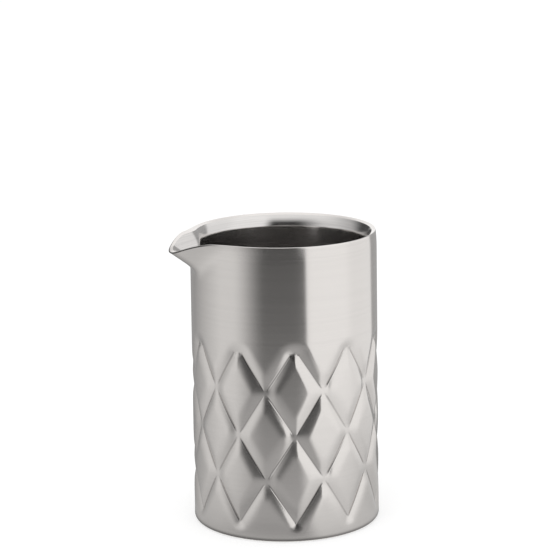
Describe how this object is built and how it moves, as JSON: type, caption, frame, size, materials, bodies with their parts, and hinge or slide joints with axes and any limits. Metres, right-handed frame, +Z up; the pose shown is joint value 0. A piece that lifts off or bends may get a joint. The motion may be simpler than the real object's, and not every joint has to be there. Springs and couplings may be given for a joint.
{
  "type": "cocktail mixing jar",
  "caption": "Tall cylindrical double-walled steel jar for stirring drinks over ice, with a pressed diamond lattice round its lower wall and a beak-shaped pouring spout.",
  "frame": {"origin": "centre of the underside, on the plane that the jar stands on", "axes": "+Z up along the jar's axis, -X along the spout"},
  "size_m": [0.1039, 0.0908, 0.143],
  "materials": {
    "outer_steel": "fine satin brushing round the wall",
    "inner_steel": "coarser brushing round the inside",
    "base_steel": "spun satin",
    "rim_steel": "ground and polished"
  },
  "bodies": {
    "root": {"outer_shell": "outer_steel", "inner_liner": "inner_steel", "base_plate": "base_steel", "rim_bead": "rim_steel"}
  },
  "joints": []
}
